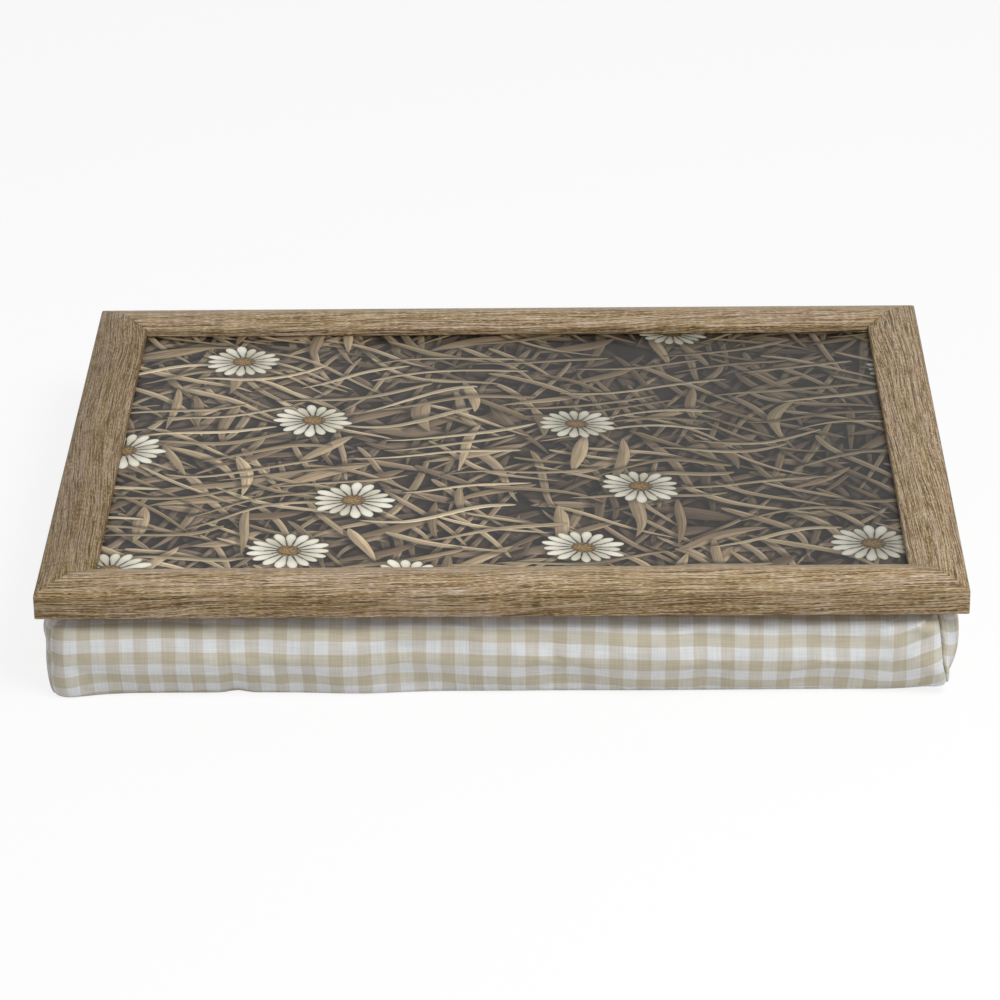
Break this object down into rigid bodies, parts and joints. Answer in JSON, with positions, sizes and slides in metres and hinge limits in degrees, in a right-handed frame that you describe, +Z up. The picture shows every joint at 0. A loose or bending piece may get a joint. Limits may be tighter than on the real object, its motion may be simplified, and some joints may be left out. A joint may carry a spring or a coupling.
{
  "type": "lap tray with cushion",
  "caption": "Rectangular lap tray: a mitred wood-effect frame round a printed flat sheet, lifting off a boxed gingham cushion filled with beads.",
  "frame": {"origin": "on the surface that the cushion stands on, under the middle of the tray", "axes": "+X to the user's right along the tray's longer side, +Y away from the user, +Z up"},
  "size_m": [0.43, 0.33, 0.0607],
  "materials": {
    "oak_foil": "satin",
    "steel": "satin",
    "printed_laminate": "satin",
    "fibreboard": "matte",
    "hook_tape": "matte",
    "loop_tape": "matte",
    "gingham_cotton": "matte",
    "polystyrene_beads": "matte"
  },
  "bodies": {
    "cushion": {"cushion_front_panel": "gingham_cotton", "cushion_right_panel": "gingham_cotton", "cushion_back_panel": "gingham_cotton", "cushion_left_panel": "gingham_cotton", "cushion_top_panel": "gingham_cotton", "cushion_bottom_panel": "gingham_cotton", "bead_fill": "polystyrene_beads", "loop_strip_front": "loop_tape", "loop_strip_right": "loop_tape", "loop_strip_back": "loop_tape", "loop_strip_left": "loop_tape"},
    "tray": {"front_rail": "oak_foil", "right_rail": "oak_foil", "back_rail": "oak_foil", "left_rail": "oak_foil", "corner_wedge_nails": "steel", "framing_points": "steel", "printed_top_sheet": "printed_laminate", "backing_board": "fibreboard", "hook_strip_front": "hook_tape", "hook_strip_right": "hook_tape", "hook_strip_back": "hook_tape", "hook_strip_left": "hook_tape"}
  },
  "joints": [
    {"name": "tray_lift", "type": "slide", "parent": "cushion", "child": "tray", "axis": [0, 0, 1], "range_m": [0, 0.08]}
  ]
}
